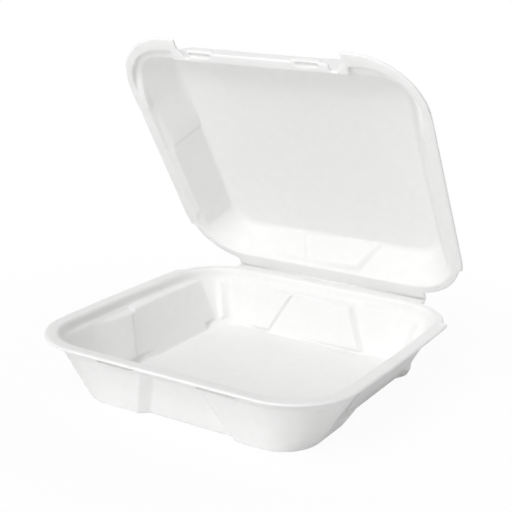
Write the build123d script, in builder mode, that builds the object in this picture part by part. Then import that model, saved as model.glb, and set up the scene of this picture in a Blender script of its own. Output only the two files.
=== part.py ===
from build123d import *
import math
import os

# Overall sizes, in millimetres
width = 230.0
depth = 218.6
tray_height = 44.2
lid_height = 27.9
sheet = 2.2
rim_radius = 46.0
open_angle = 57.2

# Tray floor, set in from the rim on each side
floor_side = 29.3
floor_front = 24.9
floor_back = 17.5
floor_front_radius = 26.0
floor_back_radius = 25.0
wall_back_radius = 30.0
foot_round = 1.2

# Tray rim: a flat flange, a steep band under it and a ledge at the band's foot
flange_reach = 7.4
edge_round = 0.6
band_height = 7.4
band_lean = 1.0
ledge_drop = 1.2
ledge_reach = 2.0
side_bow = 3.0

# Panels pressed into the tray walls: depth, then where the slope of each end starts and stops,
# first at the floor and then at the ledge
front_panel = (5.0, (-35.0, 45.0, -28.0, 37.0), (-20.0, 26.0, -13.5, 19.0))
back_step = (1.8, (-77.0, 80.0, -74.0, 77.0), (-80.0, 83.0, -77.0, 80.0))
back_panel = (3.8, (-48.5, 49.5, -38.5, 42.0), (-26.5, 34.5, -17.5, 27.0))
panel_head = 4.0
back_head = 2.4

# Side panels in two heights: a low part between the feet and a longer part above it
side_low_panel = (4.0, (-29.0, 72.0, 2.0, 62.0), (-29.0, 74.0, 2.0, 64.0))
side_panel = (4.0, (-19.2, 96.0, -17.0, 93.0), (-3.2, 100.0, -1.0, 97.0))
side_low_height = 6.0

# Locking slots in the front band and the small lip under each
slot_centre = 37.8
slot_length = 29.0
slot_height = 2.6
slot_below_rim = 5.6
slot_lip_reach = 1.1
slot_lip_height = 1.4

# Hinge: the fold line behind the rim and the land that reaches it on both halves
fold_reach = 3.0
fold_gap = 0.3
land_length = 160.0
seat_gap = 0.4

# Flange of both halves stepped in at the two hinge corners
corner_start = 74.0
tray_corner_step = 4.4
lid_corner_step = 2.6

# Lid: the mouth inside the flange and the flat top, set in from the rim
mouth_side = 8.2
mouth_front = 17.3
mouth_back = 10.0
mouth_front_radius = 22.0
mouth_back_radius = 36.0
top_side = 25.6
top_front = 27.4
top_back = 19.2
top_radius = 23.0
lid_front_panel = (2.4, (-24.0, 24.0, -19.0, 19.0), (-36.0, 36.0, -31.0, 31.0))
lid_back_panel = (2.4, (-20.0, 28.5, -15.0, 23.5), (-33.5, 45.0, -28.5, 41.0))
lid_side_panel = (2.6, (-5.0, 66.0, 0.0, 58.0), (-15.0, 70.0, -10.0, 62.0))
lid_panel_start = 3.0

# Lid front: corner pockets, the cut-back lip, the notches and the two raised catches
pocket_side = 5.0
pocket_front = 10.2
pocket_radius = 36.0
pocket_rise = 4.0
pocket_end_x = 66.0
pocket_end_y = 52.0
lip_cut = 9.7
notch_left_x = 60.0
notch_right_x = 62.5
notch_inner_x = 52.5
notch_slant = 5.0
notch_cut = 15.4
catch_left_x = -43.0
catch_right_x = 37.0
catch_width = 21.0
catch_reach = 1.6
catch_run = 6.0
catch_rise = 4.6

# Heights and offsets that follow from the sizes above
band_top_z = tray_height - sheet
ledge_z = tray_height - band_height
wall_top_z = ledge_z - ledge_drop
wall_top_inset = flange_reach + band_lean + ledge_reach
seat_z = tray_height + seat_gap
lid_top_z = tray_height + lid_height
fold_y = depth / 2 + fold_reach
fold_z = tray_height + seat_gap / 2
wall_run = sheet * 1.12
lid_run = sheet * 1.15
panel_edge = sheet * 0.4


def along(start: float, end: float, share: float) -> float:
    """Value a share of the way from start to end."""
    return start + (end - start) * share


def tray_ring(z: float, grow: float) -> tuple:
    """Height, three insets, front and back corner radius and bow of the tray wall."""
    share = z / wall_top_z
    corner = rim_radius - wall_top_inset
    return (
        z,
        along(floor_side, wall_top_inset, share) + grow,
        along(floor_front, wall_top_inset, share) + grow,
        along(floor_back, wall_top_inset, share) + grow,
        along(floor_front_radius, corner, share) - grow * 0.6,
        along(floor_back_radius, wall_back_radius, share) - grow * 0.6,
        side_bow * share,
    )


def rim_ring(z: float, inset: float) -> tuple:
    """Ring of the tray rim, set in evenly."""
    return (z, inset, inset, inset, rim_radius - inset, rim_radius - inset, side_bow)


def flange_ring(z: float, inset: float) -> tuple:
    """Ring of the lid flange, set in evenly and straight-sided."""
    return (z, inset, inset, inset, rim_radius - inset, rim_radius - inset, 0.0)


def lid_ring(z: float, grow: float) -> tuple:
    """Ring of the lid wall at a height, grown inwards."""
    share = (z - seat_z) / (lid_top_z - seat_z)
    return (
        z,
        along(mouth_side, top_side, share) + grow,
        along(mouth_front, top_front, share) + grow,
        along(mouth_back, top_back, share) + grow,
        along(mouth_front_radius, top_radius, share) - grow * 0.6,
        along(mouth_back_radius, top_radius, share) - grow * 0.6,
        0.0,
    )


tray_outside_rings = [
    (0.0, floor_side + 0.7, floor_front + 0.7, floor_back + 0.7, floor_front_radius, floor_back_radius, 0.0),
    tray_ring(foot_round, 0.0),
    tray_ring(wall_top_z, 0.0),
    rim_ring(ledge_z, flange_reach + band_lean),
    rim_ring(band_top_z - 0.4, flange_reach),
    rim_ring(band_top_z, edge_round),
    rim_ring(band_top_z + edge_round, 0.0),
    rim_ring(tray_height - edge_round, 0.0),
    rim_ring(tray_height, edge_round),
]
tray_inside_rings = [
    tray_ring(sheet, wall_run + 1.8),
    tray_ring(sheet + 1.6, wall_run),
    tray_ring(wall_top_z + 0.5, wall_run),
    rim_ring(ledge_z + 0.9, flange_reach + band_lean + sheet - 0.2),
    rim_ring(tray_height - 1.6, flange_reach + sheet + 0.2),
    rim_ring(tray_height + 0.01, flange_reach + sheet - 1.0),
    rim_ring(tray_height + 2.0, flange_reach + sheet - 1.0),
]
lid_outside_rings = [
    flange_ring(seat_z, edge_round),
    flange_ring(seat_z + edge_round, 0.0),
    flange_ring(seat_z + sheet - edge_round, 0.0),
    flange_ring(seat_z + sheet - 0.1, edge_round),
    lid_ring(seat_z + sheet + 0.1, -lid_run),
    lid_ring(lid_top_z - 1.2, -lid_run * 0.2),
    lid_ring(lid_top_z, 1.0),
]
lid_inside_rings = [
    (seat_z - 2.0, *lid_ring(seat_z, 0.0)[1:]),
    lid_ring(seat_z, 0.0),
    lid_ring(lid_top_z - sheet - 1.6, lid_run * 0.8),
    lid_ring(lid_top_z - sheet, lid_run * 0.8 + 2.0),
]


def wall_plane(side: str, foot_inset: float, head_inset: float, foot_z: float, head_z: float) -> Plane:
    """Plane on a leaning wall, facing outwards, with its y axis up the wall."""
    lean = math.atan2(foot_inset - head_inset, head_z - foot_z)
    facing = {"front": (0, -1), "back": (0, 1), "left": (-1, 0), "right": (1, 0)}[side]
    reach = depth / 2 if side in ("front", "back") else width / 2
    along_wall = {"front": (1, 0, 0), "back": (-1, 0, 0), "left": (0, -1, 0), "right": (0, 1, 0)}[side]
    foot = (facing[0] * (reach - foot_inset), facing[1] * (reach - foot_inset), foot_z)
    outwards = (facing[0] * math.cos(lean), facing[1] * math.cos(lean), -math.sin(lean))
    return Plane(origin=foot, x_dir=along_wall, z_dir=outwards)


def panel_outline(side: str, panel: tuple, out: float, low: tuple, high: tuple, grow: float) -> list:
    """Corners of a wall panel, counter-clockwise in the wall's plane.

    The share out is 0 at the bottom of the panel and 1 where its slopes meet the wall. The pairs low and
    high give the heights of the two lines that the ends are measured on, at share 0 and at share 1.
    """
    sign = {"front": 1, "back": -1, "left": -1, "right": 1}[side]
    ends = []
    for outer_start, outer_end, inner_start, inner_end in panel[1:]:
        start = along(inner_start, outer_start, out) - grow
        end = along(inner_end, outer_end, out) + grow
        ends.append(sorted((start * sign, end * sign)))
    low_y = along(low[0], low[1], out) - grow
    high_y = along(high[0], high[1], out) + grow
    return [(ends[0][0], low_y), (ends[0][1], low_y), (ends[1][1], high_y), (ends[1][0], high_y)]


wall_rise = {
    "front": math.hypot(wall_top_z, floor_front - wall_top_inset),
    "back": math.hypot(wall_top_z, floor_back - wall_top_inset),
    "left": math.hypot(wall_top_z, floor_side - wall_top_inset),
    "right": math.hypot(wall_top_z, floor_side - wall_top_inset),
}
low_start = (-4.0, -4.0)
low_end = (side_low_height + 1.3, side_low_height + 0.3)
high_start = (side_low_height + 1.0, side_low_height - 1.0)
side_high_end = (wall_rise["left"] - panel_head, wall_rise["left"] - 0.7)
tray_walls = (
    ("front", floor_front, front_panel, low_start, (wall_rise["front"] - panel_head, wall_rise["front"])),
    ("back", floor_back, back_step, low_start, (wall_rise["back"] - back_head, wall_rise["back"] - 0.5)),
    ("back", floor_back, back_panel, low_start, (wall_rise["back"] - back_head, wall_rise["back"] - 0.5)),
    ("left", floor_side, side_low_panel, low_start, low_end),
    ("left", floor_side, side_panel, high_start, side_high_end),
    ("right", floor_side, side_low_panel, low_start, low_end),
    ("right", floor_side, side_panel, high_start, side_high_end),
)
lid_walls = {
    "front": (mouth_front, top_front, lid_front_panel),
    "back": (mouth_back, top_back, lid_back_panel),
    "left": (mouth_side, top_side, lid_side_panel),
    "right": (mouth_side, top_side, lid_side_panel),
}

# Outside form of the tray, with the wall panels pressed in
with BuildPart() as tray_form:
    for z, side, front, back, front_radius, back_radius, bow in tray_outside_rings:
        half = width / 2 - side - bow
        near = -depth / 2 + front
        far = depth / 2 - back
        with BuildSketch(Plane.XY.offset(z)) as ring:
            with BuildLine():
                Line((-half, near), (half, near))
                ThreePointArc((half, near), (half + bow + 0.001, (near + far) / 2), (half, far))
                Line((half, far), (-half, far))
                ThreePointArc((-half, far), (-half - bow - 0.001, (near + far) / 2), (-half, near))
            make_face()
            fillet(ring.vertices().group_by(Axis.Y)[0], front_radius)
            fillet(ring.vertices().group_by(Axis.Y)[-1], back_radius)
    loft(ruled=True)
    for name, foot_inset, panel, low, high in tray_walls:
        face = wall_plane(name, foot_inset, wall_top_inset, 0.0, wall_top_z)
        for out in (0.0, 1.5):
            with BuildSketch(face.offset(panel[0] * (out - 1.0))):
                Polygon(*panel_outline(name, panel, out, low, high, 0.0), align=None)
        loft(ruled=True, mode=Mode.SUBTRACT)

# Hollow of the tray: the same panels stand into it, one sheet further in
with BuildPart() as tray_hollow:
    for z, side, front, back, front_radius, back_radius, bow in tray_inside_rings:
        half = width / 2 - side - bow
        near = -depth / 2 + front
        far = depth / 2 - back
        with BuildSketch(Plane.XY.offset(z)) as ring:
            with BuildLine():
                Line((-half, near), (half, near))
                ThreePointArc((half, near), (half + bow + 0.001, (near + far) / 2), (half, far))
                Line((half, far), (-half, far))
                ThreePointArc((-half, far), (-half - bow - 0.001, (near + far) / 2), (-half, near))
            make_face()
            fillet(ring.vertices().group_by(Axis.Y)[0], front_radius)
            fillet(ring.vertices().group_by(Axis.Y)[-1], back_radius)
    loft(ruled=True)
    for name, foot_inset, panel, low, high in tray_walls:
        face = wall_plane(name, foot_inset, wall_top_inset, 0.0, wall_top_z)
        for out in (0.0, 1.5):
            with BuildSketch(face.offset(panel[0] * (out - 1.0) - sheet)):
                Polygon(*panel_outline(name, panel, out, low, high, panel_edge), align=None)
        loft(ruled=True, mode=Mode.SUBTRACT)

# Tray: form less hollow, then the hinge land, the stepped corners and the locking slots
with BuildPart() as tray:
    add(tray_form.part)
    add(tray_hollow.part, mode=Mode.SUBTRACT)
    with BuildSketch(Plane.XY.offset(band_top_z - 1.0)):
        with Locations((0, corner_start + depth / 2)):
            Rectangle(2 * width, depth)
        RectangleRounded(
            width - 2 * tray_corner_step,
            depth - 2 * lid_corner_step,
            rim_radius - lid_corner_step,
            mode=Mode.SUBTRACT,
        )
    extrude(amount=sheet + 2.0, mode=Mode.SUBTRACT)
    land_run = fold_reach + flange_reach - fold_gap
    with Locations((0, fold_y - fold_gap - land_run / 2, tray_height - sheet / 2)):
        Box(land_length, land_run, sheet)
    slot_z = tray_height - slot_below_rim
    slot_face_y = -depth / 2 + flange_reach + band_lean * 0.6
    for x in (-slot_centre, slot_centre):
        with Locations((x, slot_face_y + 0.2, slot_z - slot_height / 2 - slot_lip_height / 2)):
            Box(slot_length, 2 * slot_lip_reach, slot_lip_height)
        with Locations((x, slot_face_y, slot_z)):
            Box(slot_length, 9.0, slot_height, mode=Mode.SUBTRACT)

tray.part.label = "tray"

# Outside form of the lid, closed, with the wall panels
with BuildPart() as lid_form:
    for z, side, front, back, front_radius, back_radius, bow in lid_outside_rings:
        with BuildSketch(Plane.XY.offset(z)) as ring:
            with Locations((0, (front - back) / 2)):
                Rectangle(width - 2 * side, depth - front - back)
            fillet(ring.vertices().group_by(Axis.Y)[0], front_radius)
            fillet(ring.vertices().group_by(Axis.Y)[-1], back_radius)
    loft(ruled=True)
    for name, (foot_inset, head_inset, panel) in lid_walls.items():
        face = wall_plane(name, foot_inset - lid_run, head_inset - lid_run, seat_z, lid_top_z)
        rise = math.hypot(lid_top_z - seat_z, head_inset - foot_inset)
        low = (lid_panel_start + panel_head, lid_panel_start)
        for out in (0.0, 1.5):
            with BuildSketch(face.offset(panel[0] * (out - 1.0))):
                Polygon(*panel_outline(name, panel, out, low, (rise + 4.0, rise + 4.0), 0.0), align=None)
        loft(ruled=True, mode=Mode.SUBTRACT)

# Hollow of the lid
with BuildPart() as lid_hollow:
    for z, side, front, back, front_radius, back_radius, bow in lid_inside_rings:
        with BuildSketch(Plane.XY.offset(z)) as ring:
            with Locations((0, (front - back) / 2)):
                Rectangle(width - 2 * side, depth - front - back)
            fillet(ring.vertices().group_by(Axis.Y)[0], front_radius)
            fillet(ring.vertices().group_by(Axis.Y)[-1], back_radius)
    loft(ruled=True)
    for name, (foot_inset, head_inset, panel) in lid_walls.items():
        face = wall_plane(name, foot_inset - lid_run, head_inset - lid_run, seat_z, lid_top_z)
        rise = math.hypot(lid_top_z - seat_z, head_inset - foot_inset)
        low = (lid_panel_start + panel_head, lid_panel_start)
        for out in (0.0, 1.5):
            with BuildSketch(face.offset(panel[0] * (out - 1.0) - sheet)):
                corners = panel_outline(name, panel, out, low, (rise + 4.0, rise + 4.0), panel_edge)
                Polygon(*corners, align=None)
        loft(ruled=True, mode=Mode.SUBTRACT)

# Bumps and pockets stepped into the two front corners of the flange
with BuildPart() as corner_bumps:
    with BuildSketch(Plane.XY.offset(seat_z + sheet / 2)):
        with Locations((0, (pocket_front - pocket_side) / 2)):
            RectangleRounded(
                width - 2 * (pocket_side - sheet),
                depth - (pocket_side + pocket_front) + 2 * sheet,
                pocket_radius + sheet,
            )
    extrude(amount=pocket_rise + sheet / 2, taper=12)
    with Locations((0, 0, seat_z)):
        Box(2 * (pocket_end_x - sheet), depth, 40.0, mode=Mode.SUBTRACT)
    with Locations((0, depth / 2 - pocket_end_y + sheet, seat_z)):
        Box(width, depth, 40.0, mode=Mode.SUBTRACT)
with BuildPart() as corner_pockets:
    with BuildSketch(Plane.XY.offset(seat_z - 0.5)):
        with Locations((0, (pocket_front - pocket_side) / 2)):
            RectangleRounded(width - 2 * pocket_side, depth - pocket_side - pocket_front, pocket_radius)
    extrude(amount=pocket_rise + 0.5, taper=12)
    with Locations((0, 0, seat_z)):
        Box(2 * pocket_end_x, depth, 40.0, mode=Mode.SUBTRACT)
    with Locations((0, depth / 2 - pocket_end_y, seat_z)):
        Box(width, depth, 40.0, mode=Mode.SUBTRACT)

# Lid, closed: form less hollow, then the pockets, the hinge land, the cut-back front edge and the catches
with BuildPart() as lid:
    add(lid_form.part)
    add(corner_bumps.part)
    add(lid_hollow.part, mode=Mode.SUBTRACT)
    add(corner_pockets.part, mode=Mode.SUBTRACT)
    with BuildSketch(Plane.XY.offset(seat_z - 1.0)):
        with Locations((0, corner_start + depth / 2)):
            Rectangle(2 * width, depth)
        RectangleRounded(
            width - 2 * lid_corner_step,
            depth - 2 * lid_corner_step,
            rim_radius - lid_corner_step,
            mode=Mode.SUBTRACT,
        )
    extrude(amount=sheet + 2.0, mode=Mode.SUBTRACT)
    land_run = fold_reach + mouth_back - fold_gap - 1.0
    with Locations((0, fold_y - fold_gap - land_run / 2, seat_z + sheet / 2)):
        Box(land_length, land_run, sheet)
    lip_y = -depth / 2 + lip_cut
    notch_y = -depth / 2 + notch_cut
    with BuildSketch(Plane.XY.offset(seat_z - 1.0)):
        with BuildLine():
            Polyline(
                (-notch_left_x - 1.5, -depth),
                (-notch_left_x, lip_y - 2.0),
                (-notch_left_x + notch_slant, notch_y),
                (-notch_inner_x, notch_y),
                (-notch_inner_x, lip_y),
                (notch_inner_x, lip_y),
                (notch_inner_x, notch_y),
                (notch_right_x - notch_slant, notch_y),
                (notch_right_x, lip_y - 2.0),
                (notch_right_x + 1.5, -depth),
                close=True,
            )
        make_face()
    extrude(amount=sheet + 8.0, mode=Mode.SUBTRACT)
    for x in (catch_left_x, catch_right_x):
        with BuildSketch(Plane.XY.offset(seat_z)):
            with Locations((x, lip_y - catch_reach + catch_run / 2)):
                RectangleRounded(catch_width, catch_run, 2.0)
        extrude(amount=catch_rise, taper=15)
        with BuildSketch(Plane.XY.offset(seat_z - 0.1)):
            with Locations((x, lip_y - catch_reach + catch_run / 2 + 0.6)):
                Rectangle(catch_width - 2 * sheet, catch_run - 1.4 * sheet)
        extrude(amount=catch_rise - 1.6, taper=10, mode=Mode.SUBTRACT)

# The lid as the photograph shows it, turned open about the fold line
lid_open = lid.part.rotate(Axis((0, fold_y, fold_z), (-1, 0, 0)), open_angle)
lid_open.label = "lid"

os.makedirs("parts", exist_ok=True)
export_step(tray.part, "parts/tray.step")
export_step(lid_open, "parts/lid.step")
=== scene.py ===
"""Foam clamshell container: a hinged takeaway box in white foam, open as in its photograph."""
import logging
import math
from dataclasses import dataclass, field
from enum import Enum

import bmesh
import bpy
from mathutils import Matrix, Vector


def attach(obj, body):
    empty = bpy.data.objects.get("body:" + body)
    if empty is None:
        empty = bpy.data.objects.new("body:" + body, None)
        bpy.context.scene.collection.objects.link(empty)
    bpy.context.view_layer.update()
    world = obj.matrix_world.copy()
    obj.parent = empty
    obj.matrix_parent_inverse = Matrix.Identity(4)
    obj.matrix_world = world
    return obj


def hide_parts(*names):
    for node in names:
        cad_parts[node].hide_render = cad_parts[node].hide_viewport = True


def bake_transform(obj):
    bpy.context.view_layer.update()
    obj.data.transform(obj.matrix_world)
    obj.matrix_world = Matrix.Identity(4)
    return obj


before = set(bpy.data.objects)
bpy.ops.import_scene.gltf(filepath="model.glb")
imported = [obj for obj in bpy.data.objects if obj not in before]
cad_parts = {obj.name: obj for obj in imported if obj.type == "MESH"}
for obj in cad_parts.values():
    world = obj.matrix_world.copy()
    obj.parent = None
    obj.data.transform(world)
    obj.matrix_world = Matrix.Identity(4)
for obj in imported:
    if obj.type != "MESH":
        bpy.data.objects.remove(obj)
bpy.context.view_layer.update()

MM = 0.001
FOLD = Vector((0.0, 112.3 * MM, 44.4 * MM))
OPENED = math.radians(57.2)
log = logging.getLogger("foam_container")


class Half(Enum):
    """The two moulded halves of the container, by body name."""

    TRAY = "tray"
    LID = "lid"


@dataclass(frozen=True)
class FoamFinish:
    """White foam sheet: a satin skin over fine closed cells, a little light passing through it."""

    name: str = "white_foam"
    bright: tuple[float, float, float] = (0.905, 0.905, 0.90)
    dull: tuple[float, float, float] = (0.885, 0.885, 0.88)
    mottle_scale: float = 150.0
    mottle_detail: float = 5.0
    mottle_roughness: float = 0.55
    mottle_span: tuple[float, float] = (0.3, 0.7)
    cell_size: float = 1.0 * MM
    cell_depth: float = 0.04 * MM
    cell_strength: float = 0.6
    wave_scale: float = 120.0
    wave_detail: float = 2.0
    wave_depth: float = 0.10 * MM
    wave_strength: float = 0.5
    roughness: tuple[float, float] = (0.52, 0.70)
    specular: float = 0.25
    through_light: float = 0.25
    through_reach: float = 2.2 * MM
    through_tint: tuple[float, float, float] = (1.0, 1.0, 0.95)

    def material(self) -> bpy.types.Material:
        """Node material of the foam, on Object coordinates.

        Returns:
            The finished material.
        """
        made = bpy.data.materials.new(self.name)
        made.use_nodes = True
        nodes, links = made.node_tree.nodes, made.node_tree.links
        skin = nodes["Principled BSDF"]
        place = nodes.new("ShaderNodeTexCoord")

        mottle = nodes.new("ShaderNodeTexNoise")
        mottle.inputs["Scale"].default_value = self.mottle_scale
        mottle.inputs["Detail"].default_value = self.mottle_detail
        mottle.inputs["Roughness"].default_value = self.mottle_roughness
        links.new(place.outputs["Object"], mottle.inputs["Vector"])
        tint = nodes.new("ShaderNodeMix")
        tint.data_type = "RGBA"
        tint.inputs["A"].default_value = (*self.dull, 1.0)
        tint.inputs["B"].default_value = (*self.bright, 1.0)
        spread = nodes.new("ShaderNodeMapRange")
        spread.inputs["From Min"].default_value = self.mottle_span[0]
        spread.inputs["From Max"].default_value = self.mottle_span[1]
        links.new(mottle.outputs["Fac"], spread.inputs["Value"])
        links.new(spread.outputs["Result"], tint.inputs["Factor"])
        links.new(tint.outputs["Result"], skin.inputs["Base Color"])

        cells = nodes.new("ShaderNodeTexVoronoi")
        cells.inputs["Scale"].default_value = 1.0 / self.cell_size
        links.new(place.outputs["Object"], cells.inputs["Vector"])
        waves = nodes.new("ShaderNodeTexNoise")
        waves.inputs["Scale"].default_value = self.wave_scale
        waves.inputs["Detail"].default_value = self.wave_detail
        links.new(place.outputs["Object"], waves.inputs["Vector"])
        ripple = nodes.new("ShaderNodeBump")
        ripple.inputs["Distance"].default_value = self.wave_depth
        ripple.inputs["Strength"].default_value = self.wave_strength
        links.new(waves.outputs["Fac"], ripple.inputs["Height"])
        grain = nodes.new("ShaderNodeBump")
        grain.inputs["Distance"].default_value = self.cell_depth
        grain.inputs["Strength"].default_value = self.cell_strength
        links.new(cells.outputs["Distance"], grain.inputs["Height"])
        links.new(ripple.outputs["Normal"], grain.inputs["Normal"])
        links.new(grain.outputs["Normal"], skin.inputs["Normal"])

        gloss = nodes.new("ShaderNodeMapRange")
        gloss.inputs["To Min"].default_value = self.roughness[0]
        gloss.inputs["To Max"].default_value = self.roughness[1]
        links.new(waves.outputs["Fac"], gloss.inputs["Value"])
        links.new(gloss.outputs["Result"], skin.inputs["Roughness"])
        skin.inputs["Subsurface Weight"].default_value = self.through_light
        skin.inputs["Subsurface Radius"].default_value = self.through_tint
        skin.inputs["Subsurface Scale"].default_value = self.through_reach
        skin.inputs["Specular IOR Level"].default_value = self.specular
        return made


def ramp(value: float, start: float, end: float) -> float:
    """Smooth step from 0 at start to 1 at end."""
    share = min(1.0, max(0.0, (value - start) / (end - start)))
    return share * share * (3.0 - 2.0 * share)


@dataclass(frozen=True)
class BackRibs:
    """A back wall that swells towards the front up to each of its two slanted ribs."""

    plane_y: float
    plane_z: float
    plane_slope: float
    sheet_y: float
    left_x: float
    left_slope: float
    left_step: float
    right_x: float
    right_slope: float
    right_step: float
    level_z: tuple[float, float, float, float]
    left_run: float = 2.5 * MM
    left_length: float = 34.0 * MM
    right_run: float = 4.0 * MM
    wall_y: float = 72.0 * MM
    wall_x: float = 74.0 * MM

    def press(self, shape: bmesh.types.BMesh) -> None:
        """Move the wall towards the front beside the ribs.

        Args:
            shape: The mesh of the half, closed.
        """
        low, full, top, end = self.level_z
        shape.normal_update()
        for vert in shape.verts:
            x, y, z = vert.co
            if y < self.wall_y or abs(x) > self.wall_x or not low < z < end:
                continue
            left = self.left_x + self.left_slope * (z - self.plane_z)
            right = self.right_x + self.right_slope * (z - self.plane_z)
            plane = self.plane_y + self.plane_slope * (z - self.plane_z)
            if vert.normal.y > 0.0:
                plane += self.sheet_y
            aim = plane - self.left_step * (1.0 - ramp(x, left, left + self.left_run))
            move = max(0.0, y - aim) * ramp(x, left - self.left_length, left) if x < right else 0.0
            swell = ramp(x, left + self.left_run, right)
            move += self.right_step * swell * (1.0 - ramp(x, right, right + self.right_run))
            vert.co.y -= move * ramp(z, low, full) * (1.0 - ramp(z, top, end))


@dataclass(frozen=True)
class WallSwell:
    """Side walls that swell inwards from the front corner to a step, and run on flat behind it."""

    plane_x: float
    plane_z: float
    plane_slope: float
    sheet_x: float
    edge_y: float
    edge_slope: float
    level_z: tuple[float, float, float, float]
    step: float
    length: float
    step_run: float = 1.0 * MM
    wall_x: float = 72.0 * MM

    def press(self, shape: bmesh.types.BMesh) -> None:
        """Move the wall in front of and behind each side panel inwards, up to the panel's plane.

        Args:
            shape: The mesh of the half, closed.
        """
        low, full, top, end = self.level_z
        shape.normal_update()
        for vert in shape.verts:
            x, y, z = vert.co
            edge = self.edge_y + self.edge_slope * (z - self.plane_z)
            if abs(x) < self.wall_x or not low < z < end or y < edge - self.length:
                continue
            plane = self.plane_x + self.plane_slope * (z - self.plane_z)
            if vert.normal.x * x > 0.0:
                plane += self.sheet_x
            aim = plane - self.step * (1.0 - ramp(y, edge, edge + self.step_run))
            level = ramp(z, low, full) * (1.0 - ramp(z, top, end))
            move = max(0.0, abs(x) - aim) * ramp(y, edge - self.length, edge) * level
            vert.co.x -= math.copysign(move, x)


@dataclass(frozen=True)
class PocketFade:
    """The lid's corner pockets, running out gently along the side flanges."""

    rise: float = 4.0 * MM
    inside_z: float = 44.6 * MM
    outside_z: float = 46.8 * MM
    limit_z: float = 53.0 * MM
    run_y: tuple[float, float] = (-78.0 * MM, -53.0 * MM)
    end_y: float = -46.0 * MM
    wall_x: tuple[float, float] = (103.5 * MM, 105.5 * MM)

    def press(self, shape: bmesh.types.BMesh) -> None:
        """Lower the pockets' floors towards their ends.

        Args:
            shape: The lid's mesh, closed.
        """
        shape.normal_update()
        for vert in shape.verts:
            x, y, z = vert.co
            if abs(x) < self.wall_x[0] or z > self.limit_z or not self.run_y[0] < y < self.end_y:
                continue
            base = self.outside_z if vert.normal.z > 0.0 else self.inside_z
            height = min(self.rise, max(0.0, z - base))
            vert.co.z -= height * ramp(y, *self.run_y) * ramp(abs(x), *self.wall_x)


@dataclass(frozen=True)
class CornerLug:
    """The tray's rear corners, each with a sharp upright edge that fades into the back wall."""

    depth: float = 2.8 * MM
    edge_y: float = 81.8 * MM
    edge_z: float = 6.5 * MM
    slant: float = 0.30
    rise: float = 0.8 * MM
    fade: float = 7.0 * MM
    wall_x: float = 66.0 * MM
    level_z: tuple[float, float, float, float] = (5.0 * MM, 9.0 * MM, 32.0 * MM, 35.0 * MM)

    def press(self, shape: bmesh.types.BMesh) -> None:
        """Move a strip of each rear corner inwards.

        Args:
            shape: The tray's mesh.
        """
        low, full, top, end = self.level_z
        for vert in shape.verts:
            x, y, z = vert.co
            if abs(x) < self.wall_x or not low < z < end:
                continue
            edge = self.edge_y + self.slant * (z - self.edge_z)
            if not edge < y < edge + self.fade:
                continue
            share = ramp(y, edge, edge + self.rise)
            share *= 1.0 - ramp(y, edge + self.rise, edge + self.fade)
            level = ramp(z, low, full) * (1.0 - ramp(z, top, end))
            vert.co.x -= math.copysign(self.depth * share * level, x)


Press = BackRibs | WallSwell | CornerLug | PocketFade

# Planes of the panels, and the ribs and steps beside them, with both halves closed
TRAY_RIBS = BackRibs(
    plane_y=88.1 * MM,
    plane_z=12.0 * MM,
    plane_slope=0.2,
    sheet_y=2.2 * MM,
    left_x=-34.5 * MM,
    left_slope=0.546,
    left_step=2.0 * MM,
    right_x=36.5 * MM,
    right_slope=-0.41,
    right_step=3.0 * MM,
    level_z=(2.6 * MM, 6.0 * MM, 34.4 * MM, 35.8 * MM),
)
LID_RIBS = BackRibs(
    plane_y=92.8 * MM,
    plane_z=57.0 * MM,
    plane_slope=-0.333,
    sheet_y=2.35 * MM,
    left_x=-22.3 * MM,
    left_slope=-0.40,
    left_step=1.0 * MM,
    right_x=30.0 * MM,
    right_slope=0.54,
    right_step=2.0 * MM,
    level_z=(47.0 * MM, 49.5 * MM, 68.0 * MM, 69.8 * MM),
)
TRAY_SWELL = WallSwell(
    plane_x=85.1 * MM,
    plane_z=12.0 * MM,
    plane_slope=0.5275,
    sheet_x=2.45 * MM,
    edge_y=-19.7 * MM,
    edge_slope=0.5125,
    level_z=(5.0 * MM, 8.0 * MM, 34.0 * MM, 35.6 * MM),
    step=1.2 * MM,
    length=42.0 * MM,
)
LID_SWELL = WallSwell(
    plane_x=100.9 * MM,
    plane_z=49.0 * MM,
    plane_slope=-0.637,
    sheet_x=2.65 * MM,
    edge_y=-7.5 * MM,
    edge_slope=-0.205,
    level_z=(46.5 * MM, 49.0 * MM, 75.0 * MM, 76.0 * MM),
    step=0.8 * MM,
    length=38.0 * MM,
)


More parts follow.
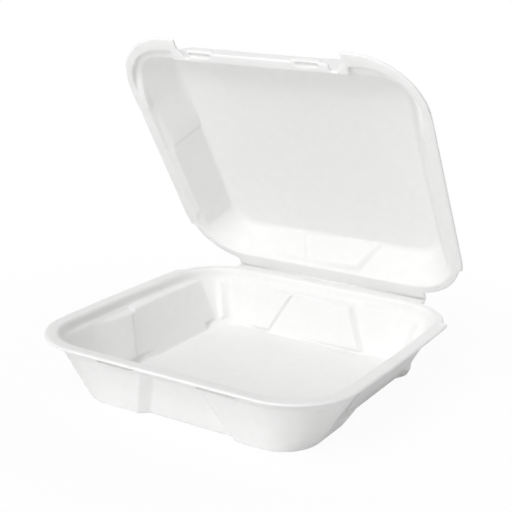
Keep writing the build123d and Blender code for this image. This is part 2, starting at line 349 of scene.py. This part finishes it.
@dataclass
class FoamHalf:
    """One moulded half, tray or lid, with the soft edges that pressed foam has."""

    half: Half
    presses: tuple[Press, ...] = ()
    opened: float = 0.0
    voxel: float = 0.75 * MM
    merge_gap: float = 0.002 * MM
    soften_share: float = 0.5
    rounds: int = 5
    face_limit: int = 190000

    def build(self, foam: bpy.types.Material) -> bpy.types.Object:
        """Soft-edged copy of the half's solid, in its place.

        Args:
            foam: The material it is dressed in.

        Returns:
            The piece, riding on its body and standing for the solid.
        """
        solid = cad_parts[self.half.value]
        mesh = solid.data.copy()
        shape = bmesh.new()
        shape.from_mesh(mesh)
        bmesh.ops.remove_doubles(shape, verts=shape.verts, dist=self.merge_gap)
        self._turn(shape, self.opened)
        shape.to_mesh(mesh)
        shape.free()
        rough = bpy.data.objects.new(f"{self.half.value}_rough", mesh)
        bpy.context.scene.collection.objects.link(rough)
        skin = rough.modifiers.new("skin", "REMESH")
        skin.mode = "VOXEL"
        skin.voxel_size = self.voxel
        self._apply(rough)
        shape = bmesh.new()
        shape.from_mesh(rough.data)
        for form in self.presses:
            form.press(shape)
        self._turn(shape, -self.opened)
        shape.to_mesh(rough.data)
        shape.free()
        soften = rough.modifiers.new("soften", "SMOOTH")
        soften.factor = self.soften_share
        soften.iterations = self.rounds
        self._apply(rough)
        triangles = sum(len(face.vertices) - 2 for face in rough.data.polygons)
        if triangles > self.face_limit:
            thin = rough.modifiers.new("thin", "DECIMATE")
            thin.ratio = self.face_limit / triangles
            self._apply(rough)
        rough.name = f"foam_{self.half.value}"
        rough.data.name = rough.name
        rough.data.materials.clear()
        rough.data.materials.append(foam)
        rough.data.polygons.foreach_set("use_smooth", [True] * len(rough.data.polygons))
        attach(rough, self.half.value)
        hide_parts(self.half.value)
        return rough

    @staticmethod
    def _turn(shape: bmesh.types.BMesh, angle: float) -> None:
        """Turn the whole mesh about the fold line."""
        turn = Matrix.Rotation(angle, 3, "X")
        bmesh.ops.rotate(shape, verts=shape.verts, cent=FOLD, matrix=turn)

    @staticmethod
    def _apply(piece: bpy.types.Object) -> None:
        """Put the piece's modifiers into its mesh.

        Args:
            piece: The object, which keeps no modifier.
        """
        graph = bpy.context.evaluated_depsgraph_get()
        made = bpy.data.meshes.new_from_object(piece.evaluated_get(graph))
        piece.modifiers.clear()
        piece.data = made


@dataclass
class HingeWeb:
    """The thin web of sheet that joins the halves along the fold line."""

    fold: Vector = field(default_factory=FOLD.copy)
    length: float = 158.0 * MM
    opened: float = OPENED
    half_sheet: float = 1.0 * MM
    below_fold: float = 1.3 * MM
    fold_gap: float = 0.2 * MM
    blend_run: float = 0.3 * MM
    reach: float = 2.4 * MM
    steps: int = 10

    def build(self, foam: bpy.types.Material) -> bpy.types.Object:
        """Bent strip from the tray's land to the lid's, curved round the fold at the lid's opening.

        Args:
            foam: The material it is dressed in.

        Returns:
            The piece, across the hinge.
        """
        shape = bmesh.new()
        low = self.fold + Vector((0.0, -self.reach, -self.below_fold))
        corners = [
            shape.verts.new(low + Vector((x, 0.0, z)))
            for x, z in (
                (-self.length / 2, -self.half_sheet),
                (self.length / 2, -self.half_sheet),
                (self.length / 2, self.half_sheet),
                (-self.length / 2, self.half_sheet),
            )
        ]
        end = shape.faces.new(corners)
        bmesh.ops.recalc_face_normals(shape, faces=[end])
        made = bmesh.ops.extrude_face_region(shape, geom=[end])
        tip = [v for v in made["geom"] if isinstance(v, bmesh.types.BMVert)]
        bmesh.ops.translate(shape, verts=tip, vec=(0.0, self.reach - self.fold_gap, 0.0))
        lip = [f for f in made["geom"] if isinstance(f, bmesh.types.BMFace)]
        turn = (math.pi - self.opened) / self.steps
        for _ in range(self.steps):
            made = bmesh.ops.extrude_face_region(shape, geom=lip)
            bmesh.ops.delete(shape, geom=lip, context="FACES_ONLY")
            lip = [f for f in made["geom"] if isinstance(f, bmesh.types.BMFace)]
            tip = [v for v in made["geom"] if isinstance(v, bmesh.types.BMVert)]
            bmesh.ops.rotate(shape, verts=tip, cent=self.fold, matrix=Matrix.Rotation(turn, 3, "X"))
        made = bmesh.ops.extrude_face_region(shape, geom=lip)
        bmesh.ops.delete(shape, geom=lip, context="FACES_ONLY")
        tip = [v for v in made["geom"] if isinstance(v, bmesh.types.BMVert)]
        away = Matrix.Rotation(math.pi - self.opened, 3, "X") @ Vector((0.0, 1.0, 0.0))
        bmesh.ops.translate(shape, verts=tip, vec=away * self.reach)
        bmesh.ops.recalc_face_normals(shape, faces=shape.faces)
        mesh = bpy.data.meshes.new("hinge_web")
        shape.to_mesh(mesh)
        shape.free()
        mesh.materials.append(foam)
        mesh.polygons.foreach_set("use_smooth", [True] * len(mesh.polygons))
        web = bpy.data.objects.new("hinge_web", mesh)
        bpy.context.scene.collection.objects.link(web)
        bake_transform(web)
        return web


@dataclass(frozen=True)
class SoftBox:
    """One soft studio lamp, aimed at the middle of the container."""

    name: str
    azimuth: float
    elevation: float
    strength: float
    distance: float = 1.8
    size: float = 1.2

    def build(self, aim: Vector) -> bpy.types.Object:
        """Square area lamp.

        Args:
            aim: The point it faces.

        Returns:
            The lamp's object.
        """
        a, e = math.radians(self.azimuth), math.radians(self.elevation)
        way = Vector((math.sin(a) * math.cos(e), -math.cos(a) * math.cos(e), math.sin(e)))
        data = bpy.data.lights.new(self.name, "AREA")
        data.size = self.size
        data.energy = self.strength
        lamp = bpy.data.objects.new(self.name, data)
        bpy.context.scene.collection.objects.link(lamp)
        lamp.location = aim + way * self.distance
        lamp.rotation_mode = "QUATERNION"
        lamp.rotation_quaternion = way.to_track_quat("Z", "Y")
        return lamp


@dataclass
class Studio:
    """White table, white surroundings and soft lamps."""

    sky: float = 0.08
    white: tuple[float, float, float, float] = (1.0, 1.0, 1.0, 1.0)
    table_white: tuple[float, float, float, float] = (0.9, 0.9, 0.9, 1.0)
    table_drop: float = 0.2 * MM
    aim_height: float = 80.0 * MM
    floor_half: float = 12.0
    shadow_share: float = 0.06
    shadow_near: float = 0.12
    shadow_far: float = 0.42
    lamps: tuple[SoftBox, ...] = (
        SoftBox("front_low", -4.0, 12.0, 9.4),
        SoftBox("front", -4.0, 42.0, 18.4),
        SoftBox("front_high", 0.0, 66.0, 4.8),
        SoftBox("right_high", 90.0, 42.0, 1.1),
        SoftBox("right_rear", 135.0, 12.0, 8.6),
        SoftBox("left_rear", -135.0, 12.0, 3.0),
        SoftBox("rear", 180.0, 42.0, 8.5),
    )

    def build(self) -> None:
        """Floor, world and lamps."""
        self._world()
        self._floor()
        for lamp in self.lamps:
            lamp.build(Vector((0.0, 0.0, self.aim_height)))

    @staticmethod
    def _seen(nodes: bpy.types.Nodes, links: bpy.types.NodeLinks) -> bpy.types.NodeSocket:
        """Socket that is 1 for camera, glossy and transmitted rays.

        Args:
            nodes: The tree's nodes.
            links: The tree's links.

        Returns:
            The socket to mix by.
        """
        path = nodes.new("ShaderNodeLightPath")
        first = nodes.new("ShaderNodeMath")
        first.operation = "MAXIMUM"
        links.new(path.outputs["Is Camera Ray"], first.inputs[0])
        links.new(path.outputs["Is Glossy Ray"], first.inputs[1])
        both = nodes.new("ShaderNodeMath")
        both.operation = "MAXIMUM"
        links.new(first.outputs[0], both.inputs[0])
        links.new(path.outputs["Is Transmission Ray"], both.inputs[1])
        return both.outputs[0]

    def _world(self) -> None:
        """White to the eye, softer as a light."""
        world = bpy.data.worlds.new("white_room")
        bpy.context.scene.world = world
        world.use_nodes = True
        nodes, links = world.node_tree.nodes, world.node_tree.links
        nodes.clear()
        light = nodes.new("ShaderNodeBackground")
        light.inputs["Strength"].default_value = self.sky
        white = nodes.new("ShaderNodeBackground")
        white.inputs["Color"].default_value = self.white
        light.inputs["Color"].default_value = self.white
        pick = nodes.new("ShaderNodeMixShader")
        links.new(self._seen(nodes, links), pick.inputs["Fac"])
        links.new(light.outputs[0], pick.inputs[1])
        links.new(white.outputs[0], pick.inputs[2])
        out = nodes.new("ShaderNodeOutputWorld")
        links.new(pick.outputs[0], out.inputs["Surface"])

    def _floor(self) -> None:
        """Plain white table that takes a faint shadow."""
        shape = bmesh.new()
        bmesh.ops.create_grid(shape, x_segments=1, y_segments=1, size=self.floor_half)
        mesh = bpy.data.meshes.new("table")
        shape.to_mesh(mesh)
        shape.free()
        table = bpy.data.objects.new("table", mesh)
        bpy.context.scene.collection.objects.link(table)
        table.location.z = -self.table_drop
        made = bpy.data.materials.new("white_table")
        made.use_nodes = True
        nodes, links = made.node_tree.nodes, made.node_tree.links
        nodes.clear()
        plain = nodes.new("ShaderNodeBsdfDiffuse")
        plain.inputs["Color"].default_value = self.table_white
        glow = nodes.new("ShaderNodeEmission")
        glow.inputs["Strength"].default_value = 1.0
        place = nodes.new("ShaderNodeTexCoord")
        away = nodes.new("ShaderNodeVectorMath")
        away.operation = "LENGTH"
        links.new(place.outputs["Object"], away.inputs[0])
        fade = nodes.new("ShaderNodeMapRange")
        fade.interpolation_type = "SMOOTHSTEP"
        fade.inputs["From Min"].default_value = self.shadow_near
        fade.inputs["From Max"].default_value = self.shadow_far
        fade.inputs["To Min"].default_value = 1.0 - self.shadow_share
        fade.inputs["To Max"].default_value = 1.0
        links.new(away.outputs["Value"], fade.inputs["Value"])
        faint = nodes.new("ShaderNodeMixShader")
        links.new(fade.outputs["Result"], faint.inputs["Fac"])
        links.new(plain.outputs[0], faint.inputs[1])
        links.new(glow.outputs[0], faint.inputs[2])
        pick = nodes.new("ShaderNodeMixShader")
        links.new(self._seen(nodes, links), pick.inputs["Fac"])
        links.new(plain.outputs[0], pick.inputs[1])
        links.new(faint.outputs[0], pick.inputs[2])
        out = nodes.new("ShaderNodeOutputMaterial")
        links.new(pick.outputs[0], out.inputs["Surface"])
        mesh.materials.append(made)


@dataclass
class PhotoCamera:
    """Camera at the photograph's viewing angle."""

    azimuth: float = 31.34
    elevation: float = 16.35
    roll: float = 1.05
    distance: float = 741.4 * MM
    lens_mm: float = 76.885
    sensor_mm: float = 36.0
    clip: tuple[float, float] = (0.05, 50.0)
    aim_height: float = 60.0 * MM
    aim_right: float = 2.85 * MM
    aim_up: float = 30.08 * MM

    def build(self) -> bpy.types.Object:
        """The camera, set as the scene's own.

        Returns:
            The camera's object.
        """
        a, e, r = (math.radians(v) for v in (self.azimuth, self.elevation, self.roll))
        right = Vector((math.cos(a), math.sin(a), 0.0))
        back = Vector((math.sin(a) * math.cos(e), -math.cos(a) * math.cos(e), math.sin(e)))
        up = back.cross(right)
        right, up = right * math.cos(r) + up * math.sin(r), up * math.cos(r) - right * math.sin(r)
        aim = Vector((0.0, 0.0, self.aim_height)) + right * self.aim_right + up * self.aim_up
        data = bpy.data.cameras.new("photo_camera")
        data.sensor_width = self.sensor_mm
        data.lens = self.lens_mm
        data.clip_start, data.clip_end = self.clip
        camera = bpy.data.objects.new("photo_camera", data)
        bpy.context.scene.collection.objects.link(camera)
        turn = Matrix((right, up, back)).transposed().to_4x4()
        camera.matrix_world = Matrix.Translation(aim + back * self.distance) @ turn
        bpy.context.scene.camera = camera
        return camera


def main() -> None:
    """Build the container, the studio and the camera."""
    logging.basicConfig(level=logging.INFO, format="%(message)s")
    bpy.context.scene.view_settings.view_transform = "Standard"
    foam = FoamFinish().material()
    parts = (
        FoamHalf(Half.TRAY, presses=(TRAY_RIBS, TRAY_SWELL, CornerLug())),
        FoamHalf(Half.LID, presses=(LID_RIBS, LID_SWELL, PocketFade()), opened=OPENED),
        HingeWeb(),
    )
    for part in parts:
        piece = part.build(foam)
        log.info("%s: %d faces", piece.name, len(piece.data.polygons))
    Studio().build()
    PhotoCamera().build()


if __name__ == "__main__":
    main()
